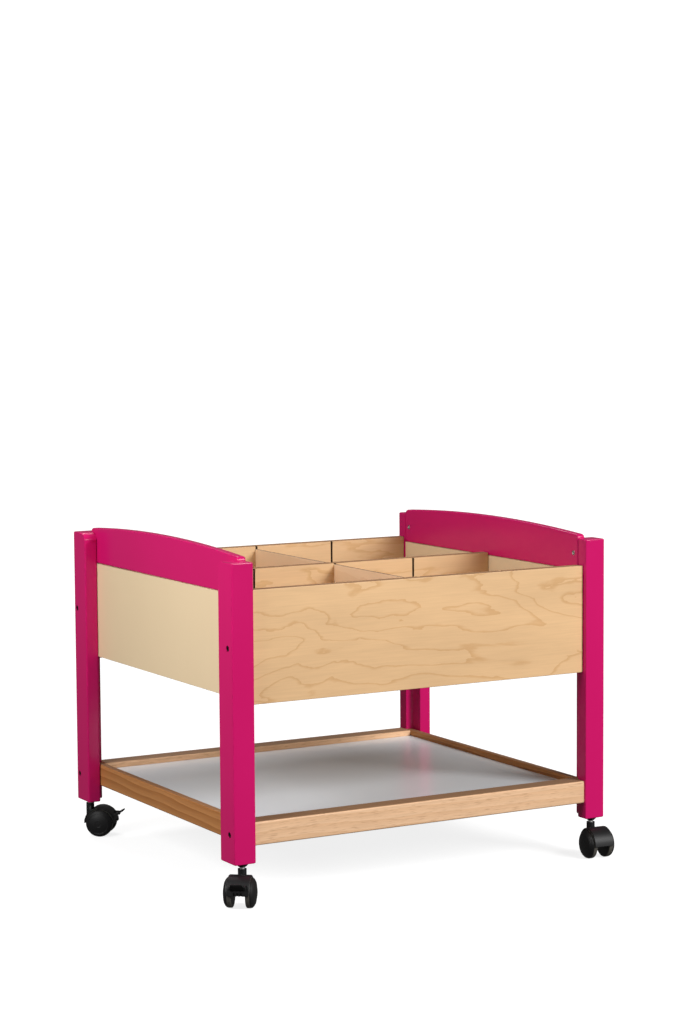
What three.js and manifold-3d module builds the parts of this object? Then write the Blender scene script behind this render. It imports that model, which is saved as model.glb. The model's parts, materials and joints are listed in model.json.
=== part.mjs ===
// Picture book browser bin for a school library: a two-row plywood bin between four rebated
// legs with arched end rails, over a laminate shelf in a beech frame, on twin-wheel castors.
// Millimetres, floor at z = 0, x along the front, y towards the back.
import * as THREE from 'three';
import { mergeVertices } from 'three/addons/utils/BufferGeometryUtils.js';
import Module from 'manifold-3d';

const wasm = await Module();
wasm.setup();

// Overall size over the legs, the small gap left between pieces that touch, and the facets in a corner.
const frameWidth = 700;
const frameDepth = 610;
const fitGap = 0.3;
const cornerSteps = 2;

// Legs: the outer part stands proud of the end panels, the inner part is the full width.
const legWidth = 38;
const legDepth = 50;
const legHeight = 473;
const legRebateWidth = 15;
const legRebateDepth = 26;
const legCornerRadius = 3;
const legEdgeRound = 2.2;

// Arched end rails and the cream panels below them, both as thick as the leg rebate.
const railBottomDrop = 53;
const railEndHeight = 60;
const railRise = 10;
const railCornerRadius = 6;
const railEdgeRound = 2.5;
const endPanelHeight = 164;
const endPanelEdgeRound = 0.8;

// Bin panels of plywood, with vertical grooves at the quarter points for the cross dividers.
const binTopDrop = 44;
const binHeight = 180;
const panelThickness = 18;
const panelEdgeRound = 1.2;
const frontPanelInset = 8;
const backPanelInset = 3;
const middleDividerDrop = 4;
const grooveDepth = 5;
const crossDividerThickness = 4;
const crossDividerDrop = 6;
const crossDividerCorner = 4;
const grooveClearance = 0.3;
const cleatWidth = 15;
const cleatHeight = 12;
const cleatLift = 2;
const binFloorThickness = 6;

// Shelf tray: beech rails, the front and back ones with a ledge under the laminate board.
const shelfLift = 27;
const shelfRailHeight = 38;
const shelfRailDepth = 36;
const shelfRailInset = 4;
const endShelfRailThickness = 14;
const shelfRailRound = 3;
const shelfBoardThickness = 12;
const shelfBoardDrop = 10;
const shelfLedge = 7;

// Connector screws through the legs, and the shorter screws through the arched rails.
const screwShankRadius = 3;
const screwHeadRadius = 4.6;
const screwHeadHeight = 3;
const screwHeadSink = 3;
const screwGrip = 30;
const screwClearance = 0.3;
const screwFromFront = 17;
const screwFromBack = 12;
const railScrewHeadRadius = 4;
const railScrewHeadHeight = 2.4;
const railScrewGrip = 14;
const railScrewHeight = 28;
const keyRadius = 2.2;
const keyDepth = 1.6;

// Castors, each drawn with its stem on z and trailing along +x.
const castorHeight = 65;
const wheelRadius = 24;
const wheelWidth = 16.2;
const wheelCapWall = 2.5;
const treadWidth = 6.8;
const treadChamfer = 1.2;
const wheelGap = 22;
const axleRadius = 3;
const axleClearance = 0.05;
const axleBossRadius = 6.5;
const axleSeat = 0.1;
const trail = 20;
const hoodWall = 2.6;
const hoodEdgeRound = 1;
const hoodWellClearance = 1;
const webClearance = 0.4;
const collarRadius = 7;
const collarFoot = 28;
const collarTop = 57.2;
const stemRadius = 4;
const stemFoot = 33;
const stemClearance = 0.06;
const socketRadius = 7.5;
const socketWall = 3.2;
const socketLength = 34;
const flangeRadius = 9.2;
const flangeFootRadius = 5.8;
const flangeThickness = 4.6;
const flangeRim = 1.4;

// Toe brake: a ribbed plate rising from a hub on a pin, held by two ears on the hood.
const brakeLeverWidth = 20;
const brakeLeverThickness = 2.4;
const brakeLeverLength = 15;
const brakeLeverRise = 32;
const brakeHubRadius = 2.8;
const brakePivotRadius = 1.6;
const brakePivotClearance = 0.06;
const brakePivotReach = 3.2;
const brakePivotAngle = 26;
const brakeRibRadius = 0.8;
const brakeRibPitch = 2.6;
const brakeEarThickness = 2.8;
const brakeEarGap = 0.4;
const brakeEarReach = 3.6;
const brakeSlotWidth = 3;
const brakeSlotHeight = 5;
const brakeSlotPitch = 5.4;

// Places worked out from the sizes above.
const halfWidth = frameWidth / 2;
const halfDepth = frameDepth / 2;
const legBottom = castorHeight;
const legTop = legBottom + legHeight;
const legOuterWidth = legWidth - legRebateWidth;
const legInnerDepth = legDepth - legRebateDepth;
const innerHalfWidth = halfWidth - legWidth;
const pocketHalfDepth = halfDepth - legInnerDepth - fitGap;
const endPieceThickness = legRebateWidth - fitGap;
const endPieceCentre = innerHalfWidth + endPieceThickness / 2;
const frontFace = -halfDepth + frontPanelInset;
const frontInner = frontFace + panelThickness;
const backFace = halfDepth - backPanelInset;
const backInner = backFace - panelThickness;
const binMiddle = (frontInner + backInner) / 2;
const binTop = legTop - binTopDrop;
const binBottom = binTop - binHeight;
const railBottom = legTop - railBottomDrop;
const endPanelBottom = railBottom - endPanelHeight;
const floorBottom = binBottom + cleatLift + cleatHeight + fitGap;
const floorTop = floorBottom + binFloorThickness;
const grooveWidth = crossDividerThickness + 2 * grooveClearance;
const shelfBottom = legBottom + shelfLift;
const shelfTop = shelfBottom + shelfRailHeight;
const boardTop = shelfTop - shelfBoardDrop;
const boardBottom = boardTop - shelfBoardThickness;
const shelfRailInner = halfDepth - shelfRailInset - shelfRailDepth;
const binScrewHeight = binBottom + binHeight / 2;
const shelfScrewHeight = shelfBottom + shelfRailHeight / 2;
const railScrewZ = railBottom + railScrewHeight;
const railScrewY = halfDepth - legInnerDepth - legRebateDepth / 2;
const stemX = halfWidth - legWidth / 2;
const stemY = halfDepth - legInnerDepth / 2;
const coverRadius = wheelRadius + hoodWellClearance + hoodWall;
const coverWidth = wheelGap + 2 * treadWidth;
const brakePivotRadial = coverRadius + brakePivotReach;
const brakePivotTurn = THREE.MathUtils.degToRad(brakePivotAngle);
const brakePivotX = trail + brakePivotRadial * Math.cos(brakePivotTurn);
const brakePivotZ = wheelRadius + brakePivotRadial * Math.sin(brakePivotTurn);

const pink = { color: 0xb8125c, roughness: 0.32, metalness: 0 };
const cream = { color: 0xd8c4a0, roughness: 0.5, metalness: 0 };
const plywood = { color: 0xe0ba8c, roughness: 0.5, metalness: 0 };
const beech = { color: 0xd8aa7c, roughness: 0.5, metalness: 0 };
const laminate = { color: 0xc0beb9, roughness: 0.35, metalness: 0 };
const hardboard = { color: 0xd2a878, roughness: 0.55, metalness: 0 };
const steel = { color: 0xb4b6b8, roughness: 0.3, metalness: 1 };
const darkSteel = { color: 0x2a2828, roughness: 0.5, metalness: 1 };
const blackPlastic = { color: 0x161616, roughness: 0.45, metalness: 0 };
const tread = { color: 0x4a4640, roughness: 0.6, metalness: 0 };

const bin = new THREE.Group();
bin.name = 'picture_book_bin';

function addPart(parent, name, geometry, finish) {
  const mesh = new THREE.Mesh(geometry, new THREE.MeshStandardMaterial(finish));
  mesh.name = name;
  parent.add(mesh);
  return mesh;
}

function toSolid(geometry) {
  const bare = geometry.index ? geometry.toNonIndexed() : geometry.clone();
  bare.deleteAttribute('normal');
  bare.deleteAttribute('uv');
  const welded = mergeVertices(bare, 1e-4);
  return new wasm.Manifold(new wasm.Mesh({
    numProp: 3,
    vertProperties: Float32Array.from(welded.attributes.position.array),
    triVerts: Uint32Array.from(welded.index.array),
  }));
}

function toGeometry(solid) {
  const mesh = solid.getMesh();
  const geometry = new THREE.BufferGeometry();
  geometry.setAttribute('position', new THREE.BufferAttribute(mesh.vertProperties, 3));
  geometry.setIndex(new THREE.BufferAttribute(mesh.triVerts, 1));
  geometry.computeVertexNormals();
  return geometry;
}

function cutAway(geometry, cutters) {
  const cut = cutters.reduce((solid, cutter) => solid.subtract(toSolid(cutter)), toSolid(geometry));
  return toGeometry(cut);
}

// A round bar between two points on a line along x, y or z.
function bar(radius, from, to, sides = 12) {
  const start = new THREE.Vector3(...from);
  const along = new THREE.Vector3(...to).sub(start);
  const geometry = new THREE.CylinderGeometry(radius, radius, along.length(), sides);
  geometry.translate(0, along.length() / 2, 0);
  const turn = new THREE.Quaternion().setFromUnitVectors(new THREE.Vector3(0, 1, 0), along.normalize());
  geometry.applyQuaternion(turn);
  return geometry.translate(start.x, start.y, start.z);
}

// A closed outline with each corner [x, y, radius] rounded off.
function roundedOutline(corners) {
  const points = [];
  corners.forEach(([x, y, radius = 0], index) => {
    const corner = new THREE.Vector2(x, y);
    if (radius === 0) {
      points.push(corner);
      return;
    }
    const before = corners[(index + corners.length - 1) % corners.length];
    const after = corners[(index + 1) % corners.length];
    const toBefore = new THREE.Vector2(before[0], before[1]).sub(corner).normalize();
    const toAfter = new THREE.Vector2(after[0], after[1]).sub(corner).normalize();
    const halfAngle = Math.acos(toBefore.dot(toAfter)) / 2;
    const centre = toBefore.clone().add(toAfter).normalize();
    centre.multiplyScalar(radius / Math.sin(halfAngle)).add(corner);
    const tangent = radius / Math.tan(halfAngle);
    const first = corner.clone().addScaledVector(toBefore, tangent).sub(centre).angle();
    const last = corner.clone().addScaledVector(toAfter, tangent).sub(centre).angle();
    const turn = Math.atan2(Math.sin(last - first), Math.cos(last - first));
    for (let step = 0; step <= cornerSteps; step += 1) {
      const angle = first + (turn * step) / cornerSteps;
      const spoke = new THREE.Vector2(Math.cos(angle), Math.sin(angle));
      points.push(spoke.multiplyScalar(radius).add(centre));
    }
  });
  return new THREE.Shape(points);
}

// Points along an arc of a circle, both ends included, with angles from the first axis.
function arcPoints(centreX, centreY, radius, from, to, steps) {
  const points = [];
  for (let step = 0; step <= steps; step += 1) {
    const angle = from + ((to - from) * step) / steps;
    points.push(new THREE.Vector2(centreX + radius * Math.cos(angle), centreY + radius * Math.sin(angle)));
  }
  return points;
}

// Extrude an outline through a length, with both end edges rounded over in a few steps.
function extrude(outline, length, edgeRound, edgeSteps = 1) {
  const geometry = new THREE.ExtrudeGeometry(outline, {
    depth: length - 2 * edgeRound,
    bevelEnabled: edgeRound > 0,
    bevelThickness: edgeRound,
    bevelSize: edgeRound,
    bevelOffset: -edgeRound,
    bevelSegments: edgeSteps,
    steps: 1,
  });
  return geometry.translate(0, 0, edgeRound);
}

// Turn a solid drawn upright so that its outline lies in y and z and its length runs along x.
function alongX(geometry) {
  const axes = new THREE.Matrix4().makeBasis(
    new THREE.Vector3(0, 1, 0),
    new THREE.Vector3(0, 0, 1),
    new THREE.Vector3(1, 0, 0),
  );
  return geometry.applyMatrix4(axes);
}

// The same for an outline in z and x with its length along y.
function alongY(geometry) {
  const axes = new THREE.Matrix4().makeBasis(
    new THREE.Vector3(0, 0, 1),
    new THREE.Vector3(1, 0, 0),
    new THREE.Vector3(0, 1, 0),
  );
  return geometry.applyMatrix4(axes);
}

// A countersunk connector screw along x, its head at the outer end and a key recess in it.
function connectorScrew(headRadius, headHeight, grip) {
  const profile = [
    [0, 0],
    [screwShankRadius, 0],
    [screwShankRadius, grip],
    [headRadius, grip],
    [headRadius, grip + headHeight],
    [keyRadius, grip + headHeight],
    [keyRadius, grip + headHeight - keyDepth],
    [0, grip + headHeight - keyDepth],
  ];
  const points = profile.map(([radius, along]) => new THREE.Vector2(radius, along));
  const geometry = new THREE.LatheGeometry(points, 12);
  return geometry.rotateZ(Math.PI / 2);
}

const corners = [
  { tag: 'front_left', sx: -1, sy: -1, trailAngle: -127, brake: true },
  { tag: 'front_right', sx: 1, sy: -1, trailAngle: -95, brake: false },
  { tag: 'back_left', sx: -1, sy: 1, trailAngle: -38, brake: true },
  { tag: 'back_right', sx: 1, sy: 1, trailAngle: 56, brake: false },
];

// Legs, with bores for the castor socket, the connector screws and the rail screw.
for (const { tag, sx, sy } of corners) {
  const outer = (x) => sx * (halfWidth - x);
  const face = (y) => sy * (halfDepth - y);
  const outline = roundedOutline([
    [outer(0), face(0), legCornerRadius],
    [outer(legWidth), face(0), legCornerRadius],
    [outer(legWidth), face(legInnerDepth), legCornerRadius],
    [outer(legOuterWidth), face(legInnerDepth)],
    [outer(legOuterWidth), face(legDepth), legCornerRadius],
    [outer(0), face(legDepth), legCornerRadius],
  ]);
  const post = extrude(outline, legHeight, legEdgeRound, cornerSteps).translate(0, 0, legBottom);
  const screwY = face(sy < 0 ? screwFromFront : screwFromBack);
  const shankBore = screwShankRadius + screwClearance;
  const headSeat = screwHeadSink + screwHeadHeight + screwClearance;
  const bores = [
    bar(socketRadius + screwClearance, [sx * stemX, sy * stemY, legBottom - 5],
      [sx * stemX, sy * stemY, legBottom + socketLength + 1], 16),
    bar(shankBore, [outer(legOuterWidth - railScrewGrip - 1), sy * railScrewY, railScrewZ],
      [outer(legWidth), sy * railScrewY, railScrewZ]),
  ];
  for (const height of [binScrewHeight, shelfScrewHeight]) {
    bores.push(bar(shankBore, [outer(-5), screwY, height], [outer(legWidth + 5), screwY, height]));
    bores.push(bar(screwHeadRadius + screwClearance, [outer(-5), screwY, height],
      [outer(headSeat), screwY, height]));
  }
  addPart(bin, `leg_${tag}`, cutAway(post, bores), pink);

  for (const [row, height] of [['bin', binScrewHeight], ['shelf', shelfScrewHeight]]) {
    const grip = legWidth - screwHeadSink - screwHeadHeight + screwGrip;
    const screw = connectorScrew(screwHeadRadius, screwHeadHeight, grip);
    if (sx > 0) screw.rotateZ(Math.PI);
    const mesh = addPart(bin, `screw_${row}_${tag}`, screw, darkSteel);
    mesh.position.set(sx * (innerHalfWidth - screwGrip), screwY, height);
  }
}

// Bores in the end grain of a long panel or rail for its two connector screws.
function endBores(y, z) {
  const radius = screwShankRadius + screwClearance;
  const depth = screwGrip + 2;
  return [-1, 1].map((side) => bar(radius, [side * (innerHalfWidth - depth), y, z],
    [side * (innerHalfWidth + 5), y, z]));
}

// Arched end rails and cream end panels in the leg rebates.
for (const [tag, sx] of [['left', -1], ['right', 1]]) {
  const endTop = railBottom + railEndHeight;
  const arch = [];
  const steps = 14;
  const archHalf = pocketHalfDepth - railCornerRadius;
  for (let step = 0; step <= steps; step += 1) {
    const y = archHalf * (1 - (2 * step) / steps);
    arch.push([y, endTop + railRise * (1 - (y / archHalf) ** 2)]);
  }
  const railOutline = roundedOutline([
    [-pocketHalfDepth, railBottom, railCornerRadius],
    [pocketHalfDepth, railBottom, railCornerRadius],
    [pocketHalfDepth, endTop - railCornerRadius],
    [pocketHalfDepth - railCornerRadius * 0.3, endTop - railCornerRadius * 0.3],
    ...arch,
    [-pocketHalfDepth + railCornerRadius * 0.3, endTop - railCornerRadius * 0.3],
    [-pocketHalfDepth, endTop - railCornerRadius],
  ]);
  const rail = alongX(extrude(railOutline, endPieceThickness, railEdgeRound, cornerSteps));
  rail.translate(sx * endPieceCentre - endPieceThickness / 2, 0, 0);
  const holes = [];
  for (const sy of [-1, 1]) {
    const y = sy * railScrewY;
    holes.push(bar(screwShankRadius + screwClearance, [sx * (innerHalfWidth - 5), y, railScrewZ],
      [sx * (innerHalfWidth + legWidth), y, railScrewZ]));
    holes.push(bar(railScrewHeadRadius + screwClearance, [sx * (innerHalfWidth - 5), y, railScrewZ],
      [sx * (innerHalfWidth + railScrewHeadHeight + screwClearance), y, railScrewZ]));
    const grip = endPieceThickness - railScrewHeadHeight + railScrewGrip;
    const screw = connectorScrew(railScrewHeadRadius, railScrewHeadHeight, grip);
    if (sx < 0) screw.rotateZ(Math.PI);
    const end = sy < 0 ? 'front' : 'back';
    const mesh = addPart(bin, `screw_rail_${end}_${tag}`, screw, steel);
    mesh.position.set(sx * (innerHalfWidth + railScrewHeadHeight + grip), y, railScrewZ);
  }
  addPart(bin, `end_rail_${tag}`, cutAway(rail, holes), pink);

  const panelOutline = roundedOutline([
    [-pocketHalfDepth, endPanelBottom, 1],
    [pocketHalfDepth, endPanelBottom, 1],
    [pocketHalfDepth, railBottom - fitGap],
    [-pocketHalfDepth, railBottom - fitGap],
  ]);
  const panel = alongX(extrude(panelOutline, endPieceThickness, endPanelEdgeRound));
  panel.translate(sx * endPieceCentre - endPieceThickness / 2, 0, 0);
  addPart(bin, `end_panel_${tag}`, panel, cream);
}

// A long upright board seen from above, with three grooves in the chosen faces.
function groovedBoard(length, yFront, yBack, grooveFront, grooveBack, height) {
  const half = length / 2;
  const places = [-innerHalfWidth / 2, 0, innerHalfWidth / 2];
  const notch = (x, y, inward, direction) => [
    [x - (direction * grooveWidth) / 2, y],
    [x - (direction * grooveWidth) / 2, y + inward],
    [x + (direction * grooveWidth) / 2, y + inward],
    [x + (direction * grooveWidth) / 2, y],
  ];
  const frontNotches = grooveFront ? places.flatMap((x) => notch(x, yFront, grooveDepth, 1)) : [];
  const turned = [...places].reverse();
  const backNotches = grooveBack ? turned.flatMap((x) => notch(x, yBack, -grooveDepth, -1)) : [];
  const outline = roundedOutline([
    [-half, yFront, 2],
    ...frontNotches,
    [half, yFront, 2],
    [half, yBack, 2],
    ...backNotches,
    [-half, yBack, 2],
  ]);
  return extrude(outline, height, panelEdgeRound);
}

// Bin front and back panels between the legs, and the long divider between the end panels.
const boardLength = 2 * (innerHalfWidth - fitGap);
const frontBoard = groovedBoard(boardLength, frontFace, frontInner, false, true, binHeight);
frontBoard.translate(0, 0, binBottom);
const frontScrewY = -halfDepth + screwFromFront;
addPart(bin, 'bin_front_panel', cutAway(frontBoard, endBores(frontScrewY, binScrewHeight)), plywood);

const backBoard = groovedBoard(boardLength, backInner, backFace, true, false, binHeight);
backBoard.translate(0, 0, binBottom);
const backScrewY = halfDepth - screwFromBack;
addPart(bin, 'bin_back_panel', cutAway(backBoard, endBores(backScrewY, binScrewHeight)), plywood);

const middleFront = binMiddle - panelThickness / 2;
const middleBack = binMiddle + panelThickness / 2;
const middleHeight = binTop - middleDividerDrop - floorTop - fitGap;
const middleBoard = groovedBoard(boardLength, middleFront, middleBack, true, true, middleHeight);
middleBoard.translate(0, 0, floorTop + fitGap);
addPart(bin, 'bin_middle_divider', middleBoard, plywood);

// Bin floor on two cleats along the front and back panels.
const floorOutline = roundedOutline([
  [-innerHalfWidth + fitGap, frontInner + fitGap],
  [innerHalfWidth - fitGap, frontInner + fitGap],
  [innerHalfWidth - fitGap, backInner - fitGap],
  [-innerHalfWidth + fitGap, backInner - fitGap],
]);
const floorBoard = extrude(floorOutline, binFloorThickness, 0).translate(0, 0, floorBottom);
addPart(bin, 'bin_floor', floorBoard, plywood);
for (const [tag, near, far] of [
  ['front', frontInner + fitGap, frontInner + fitGap + cleatWidth],
  ['back', backInner - fitGap, backInner - fitGap - cleatWidth],
]) {
  const outline = roundedOutline([
    [-innerHalfWidth + fitGap, near],
    [innerHalfWidth - fitGap, near],
    [innerHalfWidth - fitGap, far],
    [-innerHalfWidth + fitGap, far],
  ]);
  const cleat = extrude(outline, cleatHeight, 1).translate(0, 0, binBottom + cleatLift);
  addPart(bin, `floor_cleat_${tag}`, cleat, beech);
}

// Cross dividers standing on the floor in the middle grooves.
for (const [tag, near, far] of [
  ['front', frontInner - grooveDepth + grooveClearance, middleFront + grooveDepth - grooveClearance],
  ['back', middleBack - grooveDepth + grooveClearance, backInner + grooveDepth - grooveClearance],
]) {
  const outline = roundedOutline([
    [near, floorTop + fitGap],
    [far, floorTop + fitGap],
    [far, binTop - crossDividerDrop, crossDividerCorner],
    [near, binTop - crossDividerDrop, crossDividerCorner],
  ]);
  const divider = alongX(extrude(outline, crossDividerThickness, 0.6));
  divider.translate(-crossDividerThickness / 2, 0, 0);
  addPart(bin, `cross_divider_${tag}`, divider, hardboard);
}

// Long shelf rails: a lip that hides the board's edge and a ledge that carries it.
for (const [tag, sy, screwFrom] of [['front', -1, screwFromFront], ['back', 1, screwFromBack]]) {
  const at = (distance) => sy * (halfDepth - shelfRailInset - distance);
  const section = roundedOutline([
    [at(0), shelfBottom, shelfRailRound],
    [at(shelfRailDepth + shelfLedge), shelfBottom, shelfRailRound],
    [at(shelfRailDepth + shelfLedge), boardBottom - fitGap],
    [at(shelfRailDepth), boardBottom - fitGap],
    [at(shelfRailDepth), shelfTop, shelfRailRound],
    [at(0), shelfTop, shelfRailRound],
  ]);
  const rail = alongX(extrude(section, boardLength, 0)).translate(-boardLength / 2, 0, 0);
  const bored = cutAway(rail, endBores(sy * (halfDepth - screwFrom), shelfScrewHeight));
  addPart(bin, `shelf_rail_${tag}`, bored, beech);
}

// Short shelf rails in the leg rebates, and the board between all four rails.
for (const [tag, sx] of [['left', -1], ['right', 1]]) {
  const section = roundedOutline([
    [shelfBottom, sx * innerHalfWidth, shelfRailRound],
    [shelfTop, sx * innerHalfWidth, shelfRailRound],
    [shelfTop, sx * (innerHalfWidth + endShelfRailThickness), shelfRailRound],
    [shelfBottom, sx * (innerHalfWidth + endShelfRailThickness), shelfRailRound],
  ]);
  const rail = alongY(extrude(section, 2 * pocketHalfDepth, 0)).translate(0, -pocketHalfDepth, 0);
  addPart(bin, `shelf_rail_${tag}`, rail, beech);
}
const boardHalfWidth = innerHalfWidth - fitGap;
const boardHalfDepth = shelfRailInner - fitGap;
const boardOutline = roundedOutline([
  [-boardHalfWidth, -boardHalfDepth],
  [boardHalfWidth, -boardHalfDepth],
  [boardHalfWidth, boardHalfDepth],
  [-boardHalfWidth, boardHalfDepth],
]);
const shelfBoard = extrude(boardOutline, shelfBoardThickness, 0).translate(0, 0, boardBottom);
addPart(bin, 'shelf_board', shelfBoard, laminate);

// One wheel along +y: flat inner face, tread, and an outer face domed over a blind bore.
function wheelGeometry() {
  const boreRadius = axleRadius + axleClearance;
  const profile = [
    [0, wheelWidth - wheelCapWall],
    [boreRadius, wheelWidth - wheelCapWall],
    [boreRadius, 0],
    [wheelRadius - treadChamfer, 0],
    [wheelRadius, treadChamfer],
    [wheelRadius, treadWidth],
  ];
  const domeSteps = 4;
  for (let step = 1; step < domeSteps; step += 1) {
    const angle = (step / domeSteps) * (Math.PI / 2);
    profile.push([
      wheelRadius * Math.cos(angle),
      treadWidth + (wheelWidth - treadWidth) * Math.sin(angle),
    ]);
  }
  profile.push([0, wheelWidth]);
  return new THREE.LatheGeometry(profile.map(([radius, along]) => new THREE.Vector2(radius, along)), 24);
}

// Ear on the hood that carries one end of the brake lever's pin.
function brakeEar(side) {
  const near = brakeLeverWidth / 2 + brakeEarGap;
  const outline = roundedOutline([
    [brakePivotZ - brakeEarReach, brakePivotX - hoodWall - brakePivotReach],
    [brakePivotZ - brakeEarReach, brakePivotX + brakeEarReach, 2],
    [brakePivotZ + brakeEarReach, brakePivotX + brakeEarReach, 2],
    [brakePivotZ + brakeEarReach, brakePivotX - hoodWall - 2 * brakePivotReach],
  ]);
  const start = side > 0 ? near : -near - brakeEarThickness;
  return alongY(extrude(outline, brakeEarThickness, 0)).translate(0, start, 0);
}

// Hood: a half-round cover over both treads, with a web between the wheels that carries the
// axle and a collar round the stem. A braked hood has ears and three slots under the lever.
function hoodGeometry(brake) {
  const quarter = Math.PI / 2;
  const outline = new THREE.Shape([
    ...arcPoints(wheelRadius, trail, coverRadius, -quarter, quarter, 14),
    ...arcPoints(wheelRadius, trail, axleBossRadius, quarter, 3 * quarter, 6),
  ]);
  const cover = alongY(extrude(outline, coverWidth, hoodEdgeRound)).translate(0, -coverWidth / 2, 0);
  const collar = bar(collarRadius, [0, 0, collarFoot], [0, 0, collarTop], 20);
  const pieces = brake ? [collar, brakeEar(-1), brakeEar(1)] : [collar];
  const wellRadius = wheelRadius + hoodWellClearance;
  const webHalf = wheelGap / 2 - webClearance;
  const cutters = [
    bar(wellRadius, [trail, webHalf, wheelRadius], [trail, coverWidth, wheelRadius], 32),
    bar(wellRadius, [trail, -coverWidth, wheelRadius], [trail, -webHalf, wheelRadius], 32),
    bar(axleRadius + axleSeat, [trail, -coverWidth, wheelRadius], [trail, coverWidth, wheelRadius], 24),
    bar(stemRadius + stemClearance, [0, 0, stemFoot - 1], [0, 0, collarTop + 5], 24),
  ];
  if (brake) {
    cutters.push(bar(brakePivotRadius + brakePivotClearance, [brakePivotX, -coverWidth, brakePivotZ],
      [brakePivotX, coverWidth, brakePivotZ], 12));
    for (const place of [-1, 0, 1]) {
      const slot = new THREE.BoxGeometry(2 * hoodWall, brakeSlotWidth, 2 * brakeSlotHeight);
      cutters.push(slot.translate(trail + coverRadius, place * brakeSlotPitch, wheelRadius));
    }
  }
  const whole = pieces.reduce((solid, piece) => solid.add(toSolid(piece)), toSolid(cover));
  return toGeometry(cutters.reduce((solid, cutter) => solid.subtract(toSolid(cutter)), whole));
}

// Brake lever along +x before it is raised: toe plate with grip ribs, hub and pivot pin.
function brakeLeverGeometry() {
  const half = brakeLeverWidth / 2;
  const outline = roundedOutline([
    [-brakeLeverThickness / 2, 0],
    [brakeLeverThickness / 2, 0],
    [brakeLeverThickness / 2, brakeLeverLength, 1],
    [-brakeLeverThickness / 2, brakeLeverLength, 1],
  ]);
  const plate = alongY(extrude(outline, brakeLeverWidth, 0.6)).translate(0, -half, 0);
  const ribs = [1, 2, 3].map((place) => {
    const x = brakeLeverLength - place * brakeRibPitch;
    const z = brakeLeverThickness / 2;
    return bar(brakeRibRadius, [x, -half + brakeRibPitch, z], [x, half - brakeRibPitch, z], 6);
  });
  const hub = bar(brakeHubRadius, [0, -half, 0], [0, half, 0], 12);
  const pinHalf = half + brakeEarGap + brakeEarThickness;
  const pin = bar(brakePivotRadius, [0, -pinHalf, 0], [0, pinHalf, 0], 12);
  const whole = [...ribs, hub].reduce((solid, piece) => solid.add(toSolid(piece)), toSolid(plate));
  const raised = toGeometry(whole).rotateY(-THREE.MathUtils.degToRad(brakeLeverRise));
  return toGeometry(toSolid(raised).add(toSolid(pin)));
}

for (const { tag, sx, sy, trailAngle, brake } of corners) {
  const castor = new THREE.Group();
  castor.name = `castor_${tag}`;
  castor.position.set(sx * stemX, sy * stemY, 0);
  castor.rotation.z = THREE.MathUtils.degToRad(trailAngle);
  bin.add(castor);

  const socketProfile = [
    [socketRadius - socketWall, 0],
    [flangeFootRadius, 0],
    [flangeRadius, flangeThickness - flangeRim],
    [flangeRadius, flangeThickness],
    [socketRadius, flangeThickness],
    [socketRadius, flangeThickness + socketLength],
    [socketRadius - socketWall, flangeThickness + socketLength],
    [socketRadius - socketWall, 0],
  ].map(([radius, along]) => new THREE.Vector2(radius, along));
  const socket = new THREE.LatheGeometry(socketProfile, 12).rotateX(Math.PI / 2);
  socket.translate(0, 0, legBottom - fitGap - flangeThickness);
  addPart(castor, `socket_${tag}`, socket, blackPlastic);

  const stem = bar(stemRadius, [0, 0, stemFoot], [0, 0, legBottom + socketLength - 6], 24);
  addPart(castor, `stem_${tag}`, stem, steel);

  addPart(castor, `hood_${tag}`, hoodGeometry(brake), blackPlastic);

  const axleHalf = wheelGap / 2 + wheelWidth - wheelCapWall - fitGap;
  const axle = bar(axleRadius, [trail, -axleHalf, wheelRadius], [trail, axleHalf, wheelRadius], 24);
  addPart(castor, `axle_${tag}`, axle, steel);

  for (const [side, sign] of [['a', 1], ['b', -1]]) {
    const wheel = wheelGeometry();
    if (sign < 0) wheel.rotateX(Math.PI);
    const mesh = addPart(castor, `wheel_${side}_${tag}`, wheel, tread);
    mesh.position.set(trail, (sign * wheelGap) / 2, wheelRadius);
  }

  if (brake) {
    const lever = addPart(castor, `brake_lever_${tag}`, brakeLeverGeometry(), blackPlastic);
    lever.position.set(brakePivotX, 0, brakePivotZ);
  }
}

export default bin;
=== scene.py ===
# A picture book browser bin for a school library, dressed for a plain studio photograph.
import json
import math

import bmesh
import bpy
from mathutils import Matrix, Vector

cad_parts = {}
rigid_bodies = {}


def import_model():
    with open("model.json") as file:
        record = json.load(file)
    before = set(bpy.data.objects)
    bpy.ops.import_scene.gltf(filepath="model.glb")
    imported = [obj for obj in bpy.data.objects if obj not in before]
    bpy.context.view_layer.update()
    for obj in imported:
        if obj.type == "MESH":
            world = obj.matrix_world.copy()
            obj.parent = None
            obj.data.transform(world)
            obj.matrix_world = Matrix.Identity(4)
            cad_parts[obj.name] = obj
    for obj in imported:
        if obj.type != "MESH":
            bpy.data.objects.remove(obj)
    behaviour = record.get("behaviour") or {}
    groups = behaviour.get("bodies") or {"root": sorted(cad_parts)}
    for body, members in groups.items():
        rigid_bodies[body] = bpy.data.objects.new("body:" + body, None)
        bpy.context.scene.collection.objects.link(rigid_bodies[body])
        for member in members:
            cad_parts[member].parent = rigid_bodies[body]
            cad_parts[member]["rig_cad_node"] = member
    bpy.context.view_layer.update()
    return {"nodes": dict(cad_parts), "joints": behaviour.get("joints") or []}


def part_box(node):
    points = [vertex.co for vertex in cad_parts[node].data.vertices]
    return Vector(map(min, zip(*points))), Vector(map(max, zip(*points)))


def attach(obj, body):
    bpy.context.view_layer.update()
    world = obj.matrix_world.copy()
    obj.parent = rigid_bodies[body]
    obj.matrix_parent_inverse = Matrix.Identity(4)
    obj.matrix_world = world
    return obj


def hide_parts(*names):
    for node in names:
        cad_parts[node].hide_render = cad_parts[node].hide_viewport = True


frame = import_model()


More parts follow.
